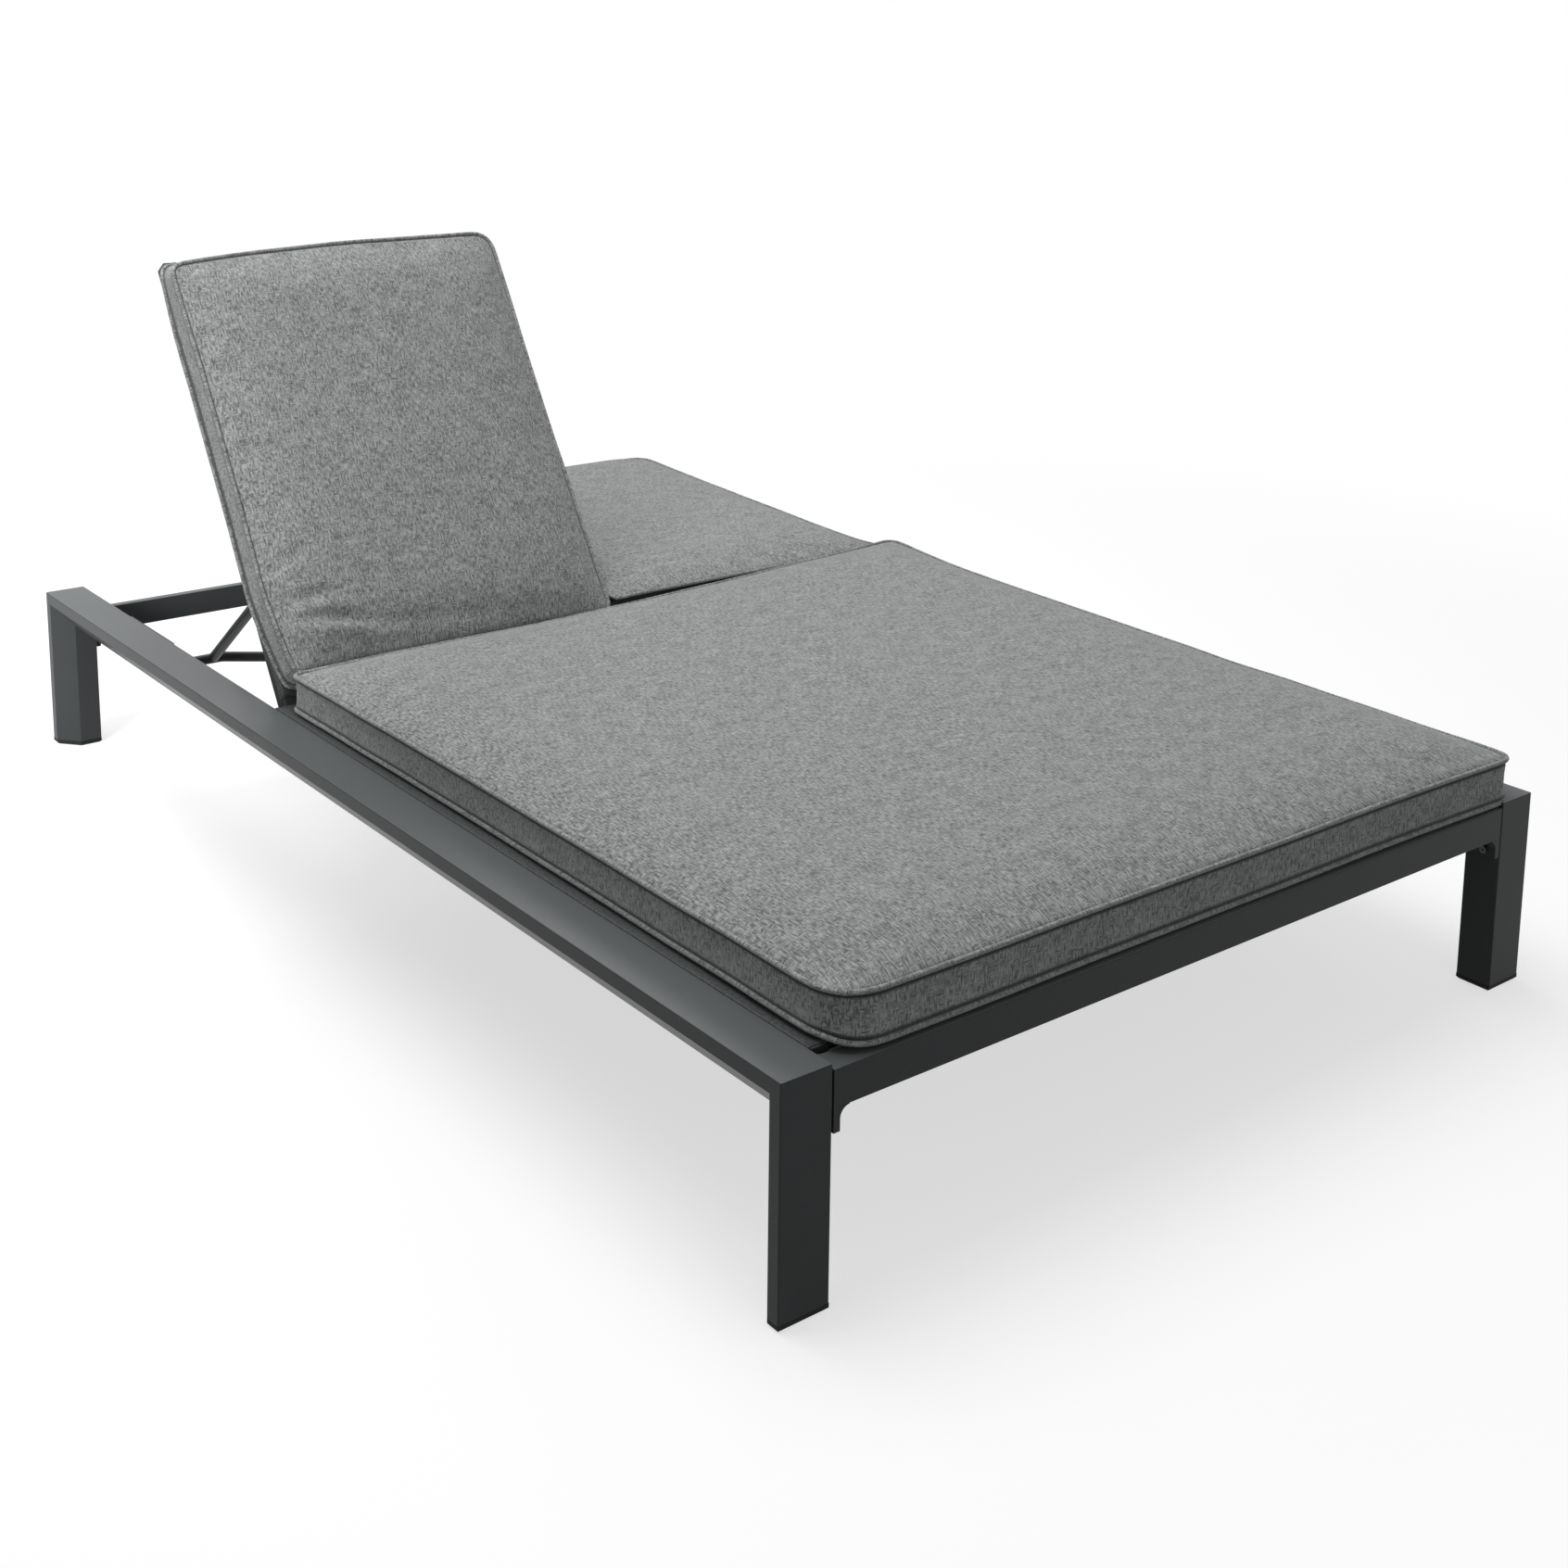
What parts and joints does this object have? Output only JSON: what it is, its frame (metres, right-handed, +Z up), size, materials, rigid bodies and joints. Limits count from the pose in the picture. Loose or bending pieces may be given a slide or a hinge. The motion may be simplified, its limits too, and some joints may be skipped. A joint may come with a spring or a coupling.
{
  "type": "double chaise lounger",
  "caption": "Low double patio lounger: mitred aluminium frame, sling deck, boxed seat cushion and cushioned backs that tilt separately on props resting in notched racks.",
  "frame": {"origin": "on the floor under the middle of the outer frame", "axes": "+X across the lounger, +Y from the foot end to the head end, +Z up"},
  "size_m": [1.212, 2.006, 0.8653],
  "materials": {
    "frame_coat": "fine-textured charcoal powder coat",
    "bracket_coat": "charcoal powder coat on steel",
    "fastener_steel": "blackened stainless",
    "black_nylon": "moulded matte",
    "gasket_rubber": "matte",
    "sling_mesh": "coated mesh",
    "cushion_cloth": "slubbed grey outdoor weave"
  },
  "bodies": {
    "frame": {"side_rail_left": "frame_coat", "side_rail_right": "frame_coat", "foot_leg_left": "frame_coat", "foot_leg_right": "frame_coat", "head_leg_left": "frame_coat", "head_leg_right": "frame_coat", "foot_rail": "frame_coat", "head_rail": "frame_coat", "rail_flanges": "frame_coat", "foot_cross_rail": "frame_coat", "seat_cross_rail": "frame_coat", "hinge_cross_rail": "frame_coat", "centre_beam_foot": "frame_coat", "centre_beam_middle": "frame_coat", "centre_beam_head": "frame_coat", "seat_tube_left": "frame_coat", "seat_tube_centre": "frame_coat", "seat_tube_right": "frame_coat", "cross_rail_end_plates": "bracket_coat", "hinge_ears": "bracket_coat", "rack_plates": "bracket_coat", "flange_bolts": "fastener_steel", "cross_rail_bolts": "fastener_steel", "rack_screws": "fastener_steel", "hinge_pins": "fastener_steel", "leg_glides": "black_nylon", "seat_tube_caps": "black_nylon", "rack_outer_left": "black_nylon", "rack_inner_left": "black_nylon", "rack_inner_right": "black_nylon", "rack_outer_right": "black_nylon", "flange_gaskets": "gasket_rubber", "seat_sling": "sling_mesh", "seat_cushion": "cushion_cloth"},
    "back_left": {"left_side_tube_outer": "frame_coat", "left_side_tube_inner": "frame_coat", "left_lower_tube": "frame_coat", "left_prop_tube": "frame_coat", "left_top_tube": "frame_coat", "left_sling": "sling_mesh", "left_cushion": "cushion_cloth", "left_hinge_bushes": "black_nylon", "left_prop_ears": "bracket_coat", "left_prop_pins": "fastener_steel"},
    "prop_left": {"left_prop_leg_outer": "frame_coat", "left_prop_leg_inner": "frame_coat", "left_prop_crossbar": "frame_coat"},
    "back_right": {"right_side_tube_outer": "frame_coat", "right_side_tube_inner": "frame_coat", "right_lower_tube": "frame_coat", "right_prop_tube": "frame_coat", "right_top_tube": "frame_coat", "right_sling": "sling_mesh", "right_cushion": "cushion_cloth", "right_hinge_bushes": "black_nylon", "right_prop_ears": "bracket_coat", "right_prop_pins": "fastener_steel"},
    "prop_right": {"right_prop_leg_outer": "frame_coat", "right_prop_leg_inner": "frame_coat", "right_prop_crossbar": "frame_coat"}
  },
  "joints": [
    {"name": "back_left_tilt", "type": "hinge", "parent": "frame", "child": "back_left", "pos_m": [0, 0.269, 0.242], "axis": [1, 0, 0], "range_deg": [-56.5, 0]},
    {"name": "back_right_tilt", "type": "hinge", "parent": "frame", "child": "back_right", "pos_m": [0, 0.269, 0.242], "axis": [1, 0, 0], "range_deg": [-1.5, 55]},
    {"name": "prop_left_swing", "type": "hinge", "parent": "back_left", "child": "prop_left", "pos_m": [0, 0.39995, 0.39637], "axis": [1, 0, 0], "range_deg": [0, 92.6]},
    {"name": "prop_right_swing", "type": "hinge", "parent": "back_right", "child": "prop_right", "pos_m": [0, 0.47056, 0.22327], "axis": [1, 0, 0], "range_deg": [-90.1, 2.5]}
  ],
  "couplings": [
    {"joint": "prop_left_swing", "follows": "back_left_tilt", "ratio": -1.6373},
    {"joint": "prop_right_swing", "follows": "back_right_tilt", "ratio": -1.6373}
  ]
}
